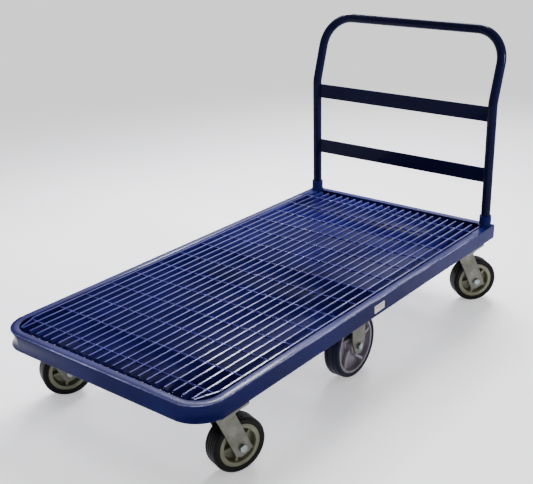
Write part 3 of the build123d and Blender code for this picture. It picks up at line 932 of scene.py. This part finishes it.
def axle_shape():
    """Hexagon bolt, washers and nylon-insert lock nut, on the Y axis with its head at -Y."""
    face = fork_half_gap + leg_thickness
    across, head, nut = 19 * MM, 8 * MM, 9 * MM
    washer, washer_high, seat = 8.9 * MM, 0.9 * MM, 0.8 * MM
    thread_pitch, thread_depth = 1.2 * MM, 0.8 * MM
    thread_end, tip = face + 12.6 * MM, face + 13.5 * MM
    shape = Shape()
    shape.hexagon(across, -face - head, -face - seat, chamfer_low=True, chamfer_high=False)
    shape.hexagon(across, face + seat, face + nut, chamfer_low=False, chamfer_high=True)
    turned = Shape()
    for low, high in ((-face - washer_high, -face), (face, face + washer_high)):
        turned.lathe([(0.5 * MM, low), (washer, low), (washer, high), (0.5 * MM, high)], 48)
    nut_top = face + nut
    collar_radius, collar_low, collar_top = 7.6 * MM, nut_top - 1 * MM, nut_top + 1.5 * MM
    collar = [(axle_radius, collar_low), (collar_radius, collar_low), (collar_radius, nut_top + 0.8 * MM)]
    collar += [(7.0 * MM, collar_top), (axle_radius, collar_top)]
    turned.lathe(collar, 40)
    plain = axle_radius - 0.02 * MM
    shank = [(0.3 * MM, -face), (plain, -face), (plain, face)]
    y = nut_top
    while y < thread_end:
        shank += [(axle_radius, y + 0.4 * MM), (axle_radius - thread_depth, y + 0.9 * MM)]
        y += thread_pitch
    shank += [(axle_radius - 1.2 * MM, tip), (0.3 * MM, tip)]
    turned.lathe(shank, 32)
    shape.moved(Matrix.Rotation(-math.pi / 2, 4, "X"))
    return shape.add(turned)


def clipped_strap(top, bottom_centre, half_top, half, clip, reach):
    """A slanting leg's side view: straight edges down to a clipped, nearly square end."""
    (top_x, top_z), (x, z) = top, bottom_centre
    down = Vector((x - top_x, z - top_z)).normalized()
    across = Vector((-down.y, down.x))
    centre = Vector((x, z))
    end = centre + down * reach
    points = [
        Vector((top_x + half_top, top_z)),
        Vector((top_x - half_top, top_z)),
        centre - across * half + down * (reach - clip),
        end - across * (half - clip),
        end + across * (half - clip),
        centre + across * half + down * (reach - clip),
    ]
    return [tuple(point) for point in points]


def swivel_fork(name):
    """Crown, skirt and two clipped straps, pressed from one thick plate."""
    kingpin = Vector(joints[name + "_swivel_turn"]["pos_m"])
    spindle = Vector(joints[name + "_wheel_spin"]["pos_m"])
    trail = (spindle.xy - kingpin.xy).length
    crown_bottom = kingpin.z
    crown_top = crown_bottom + 6.35 * MM
    skirt_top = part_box(name + "_fork")[1].z
    rise = crown_bottom - spindle.z
    half, clip, reach = 25 * MM, 11 * MM, 24 * MM
    half_top = half * math.hypot(trail, rise) / rise
    top_x = -(crown_top - crown_bottom) * trail / rise
    outline = clipped_strap((top_x, crown_top), (trail, spindle.z), half_top, half, clip, reach)
    near, far = fork_half_gap, fork_half_gap + leg_thickness
    bead_start, bead_end = top_x - half + 4 * MM, top_x + half - 2 * MM
    shape = Shape()
    for side in (-1, 1):
        shape.prism(outline, min(side * near, side * far), max(side * near, side * far))
        edge = side * (fork_half_gap + 0.3 * MM)
        shape.bead([(bead_start, edge, crown_bottom), (bead_end, edge, crown_bottom)], 2.0 * MM, 5 * MM)
    outer, skirt_wall, bore = 44 * MM, 3 * MM, axle_radius + 0.05 * MM
    inner = outer - skirt_wall
    rolled, lip, ease, hollow = 2.5 * MM, 0.8 * MM, 0.5 * MM, 1 * MM
    crown = [(bore, crown_bottom), (outer - rolled, crown_bottom)]
    crown += arc((outer - rolled, crown_bottom + rolled), rolled, -90, 0, 4)
    crown += arc((outer - lip, skirt_top - lip), lip, 0, 90, 3)
    crown += [(inner + ease, skirt_top), (inner, skirt_top - ease)]
    crown += [(inner, crown_top + hollow), (inner - hollow, crown_top), (bore, crown_top)]
    shape.add(Shape().lathe(crown, 72), UPRIGHT)
    shape.moved(kingpin_place(name))
    piece(name + "_fork_pressed", shape, ZINC, name + "_swivel", [name + "_fork"], 0.7 * MM)


def rigid_fork(name):
    """Plate and two upright legs, wide at the top and clipped to a narrow foot."""
    low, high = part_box(name + "_fork")
    x, y, axle_z = joints[name + "_wheel_spin"]["pos_m"]
    plate_bottom = high.z - 6.4 * MM
    half, foot, drop = 33 * MM, 15 * MM, 25 * MM
    clip, flare = 5 * MM, 2 * MM
    foot_z, knee_z = axle_z - drop, axle_z + drop
    outline = [(-half, plate_bottom), (-half, knee_z), (-foot - flare, foot_z + clip), (-foot + clip, foot_z),
               (foot - clip, foot_z), (foot + flare, foot_z + clip), (half, knee_z), (half, plate_bottom)]
    bead_end = half - 2 * MM
    shape = Shape()
    for side in (-1, 1):
        near, far = side * fork_half_gap, side * (fork_half_gap + leg_thickness)
        shape.prism(outline, min(near, far), max(near, far))
        edge = side * (fork_half_gap + leg_thickness + 0.4 * MM)
        shape.bead([(-bead_end, edge, plate_bottom), (bead_end, edge, plate_bottom)], 2.2 * MM, 5 * MM)
    plate = [(low.x - x, plate_bottom), (high.x - x, plate_bottom), (high.x - x, high.z), (low.x - x, high.z)]
    shape.prism(plate, low.y - y, high.y - y)
    shape.moved(Matrix.Translation((x, y, 0)))
    piece(name + "_fork_pressed", shape, ZINC, "chassis", [name + "_fork"], 0.7 * MM)


def axle(name, body):
    """An axle's bolt, washers and nut in place; the right-hand middle one is turned round."""
    turn = Matrix.Rotation(math.pi if name == "middle_right" else 0, 4, "Z")
    shape = axle_shape().moved(wheel_place(name) @ turn)
    piece(name + "_axle_set", shape, BRIGHT, body, [name + "_axle"], smooth=30)


def fasteners():
    """Mounting bolts and nuts, and the kingpin nuts, with turned corners."""
    bolts, nuts, pin_nuts = Shape(), Shape(), Shape()
    across, head, nut_high = 16 * MM, 6.4 * MM, 8 * MM
    pin_across = 19 * MM
    shank, chamfer, core = 5 * MM, 1 * MM, 0.2 * MM
    for low, high in cad_solids("caster_mounting_bolts"):
        place = middle_of(low, high)
        bolts.add(Shape().hexagon(across, low.z, low.z + head, True, False), place)
        start = low.z + head - chamfer
        end = high.z - chamfer
        profile = [(core, start), (shank, start), (shank, end), (shank - chamfer, high.z), (core, high.z)]
        bolts.add(Shape().lathe(profile, 24), place @ UPRIGHT)
    for low, high in cad_solids("caster_mounting_nuts"):
        nuts.add(Shape().hexagon(across, low.z, low.z + nut_high, True, True), middle_of(low, high))
    for low, high in cad_solids("corner_kingpin_nuts"):
        pin_nuts.add(Shape().hexagon(pin_across, low.z, high.z, True, True), middle_of(low, high))
    for name, shape, node in (
        ("mounting_bolts_turned", bolts, "caster_mounting_bolts"),
        ("mounting_nuts_turned", nuts, "caster_mounting_nuts"),
        ("kingpin_nuts_turned", pin_nuts, "corner_kingpin_nuts"),
    ):
        piece(name, shape, BRIGHT, "chassis", [node], smooth=30)


# ---------------------------------------------------------------- label
def label():
    """A blank label with rounded corners and three plain printed blocks."""
    low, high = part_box("label_plate")
    centre = (low + high) / 2
    length, height, tilt = 53 * MM, 23 * MM, math.radians(1.5)
    radius, thickness = 1.5 * MM, high.y - low.y
    back_gap, ink = 0.02 * MM, 0.06 * MM
    outline = []
    for cx, cz, start in ((1, 1, 0), (-1, 1, 90), (-1, -1, 180), (1, -1, 270)):
        middle = (cx * (length / 2 - radius), cz * (height / 2 - radius))
        outline += arc(middle, radius, start, start + 90, 4)
    place = Matrix.Translation(centre) @ Matrix.Rotation(-tilt, 4, "Y")
    sheet = Shape().prism(outline, -thickness / 2, thickness / 2 - back_gap)
    piece("label_sheet", sheet.moved(place), LABEL, "chassis", ["label_plate"])
    blocks = (
        ("label_block_orange", (-22, 2, 12, 6), (0.62, 0.22, 0.08)),
        ("label_block_grey", (-6, 3, 26, 3.5), (0.20, 0.20, 0.22)),
        ("label_block_pale", (-6, -6, 26, 4), (0.36, 0.35, 0.36)),
    )
    for name, (x, z, wide, tall), colour in blocks:
        corners = [(x, z), (x + wide, z), (x + wide, z + tall), (x, z + tall)]
        block = Shape().prism([(a * MM, b * MM) for a, b in corners], -thickness / 2 - ink, 0.0)
        piece(name, block.moved(place), label_ink(name, colour), "chassis")


# ---------------------------------------------------------------- studio
def area_light(name, spot, target, size, energy, colour=(1, 1, 1), spread=80):
    """A soft panel of light at a spot, facing a target; spread is in degrees."""
    light = bpy.data.lights.new(name, "AREA")
    light.shape = "RECTANGLE"
    light.size, light.size_y = size
    light.energy = energy
    light.color = colour
    light.spread = math.radians(spread)
    obj = bpy.data.objects.new(name, light)
    bpy.context.scene.collection.objects.link(obj)
    obj.location = spot
    direction = Vector(target) - Vector(spot)
    obj.rotation_euler = direction.to_track_quat("-Z", "Y").to_euler()


def studio():
    """A wide pale floor under soft light: a high sun through cloud, and panels that the gloss reflects."""
    reach, just_below = 60.0, 0.5 * MM
    mesh = bpy.data.meshes.new("floor")
    corners = [(-reach, -reach, 0), (reach, -reach, 0), (reach, reach, 0), (-reach, reach, 0)]
    mesh.from_pydata(corners, [], [(0, 1, 2, 3)])
    mesh.materials.append(pale_floor())
    floor = bpy.data.objects.new("floor", mesh)
    floor.location.z = -just_below
    bpy.context.scene.collection.objects.link(floor)

    world = bpy.data.worlds.new("studio")
    bpy.context.scene.world = world
    world.use_nodes = True
    background = world.node_tree.nodes["Background"]
    background.inputs["Color"].default_value = (0.95, 0.96, 1.0, 1.0)
    background.inputs["Strength"].default_value = 0.65

    sun = bpy.data.lights.new("sun", "SUN")
    sun.energy = 0.8
    sun.angle = math.radians(50)
    high = bpy.data.objects.new("sun", sun)
    high.rotation_euler = (math.radians(-22), math.radians(14), 0)
    bpy.context.scene.collection.objects.link(high)

    area_light("behind_panel", (3.1, 2.6, 2.25), (0.0, 0.0, 0.25), (3.6, 1.4), 18, (0.72, 0.72, 1.0))
    area_light("rear_strip", (3.0, 1.1, 3.3), (0.0, 0.0, 0.25), (1.6, 3.0), 80, (0.95, 0.95, 1.0))
    area_light("far_panel", (0.5, 2.8, 3.1), (0.0, 0.0, 0.3), (3.0, 1.0), 14, (0.88, 0.88, 1.0))
    area_light("glint", (2.4, 2.2, 2.55), (-0.62, -0.37, 0.25), (0.6, 0.5), 20)
    area_light("post_glint", (1.4, -3.0, 1.5), (0.7, -0.35, 0.75), (0.4, 0.8), 4, spread=25)


def camera():
    """The view from the front left corner, a little above the handle."""
    data = bpy.data.cameras.new("camera")
    data.sensor_width = 36.0
    data.lens = 62.83
    obj = bpy.data.objects.new("camera", data)
    obj.location = (-2.1286, -1.6604, 1.3989)
    obj.rotation_euler = tuple(math.radians(angle) for angle in (68.536, 1.288, -51.681))
    bpy.context.scene.collection.objects.link(obj)
    bpy.context.scene.camera = obj


# ---------------------------------------------------------------- the whole truck
camera()
studio()

bent_rail()
frame_welds()
crossmembers()
twisted_rods()
rod_welds()
grating_tacks()
rim_tacks()
handle_sockets()
slat_welds()
fasteners()
label()

for corner in CORNERS:
    corner_wheel(corner)
    swivel_fork(corner)
    axle(corner, corner + "_swivel")
for side_name in MIDDLES:
    middle_wheel(side_name)
    rigid_fork(side_name)
    axle(side_name, "chassis")

for painted in ("grating_bearing_bars", "grating_corner_bands"):
    dress(painted, LIT_PAINT)
for painted in ("rear_rail", "rear_corner_returns", "corner_caster_pads", "rigid_caster_mount_plates"):
    dress(painted, SHADED_FRAME_PAINT)
for painted in ("handle_tube", "handle_lower_slat", "handle_upper_slat"):
    dress(painted, SHADED_HANDLE_PAINT)
for plated in ("corner_caster_plates", "corner_kingpins"):
    dress(plated, ZINC)
dress("corner_race_balls", BEARING)
for flat_bar in ("grating_bearing_bars", "grating_corner_bands", "handle_lower_slat", "handle_upper_slat"):
    soften(frame["nodes"][flat_bar], 0.6 * MM)
soften(frame["nodes"]["corner_caster_plates"], 0.8 * MM)
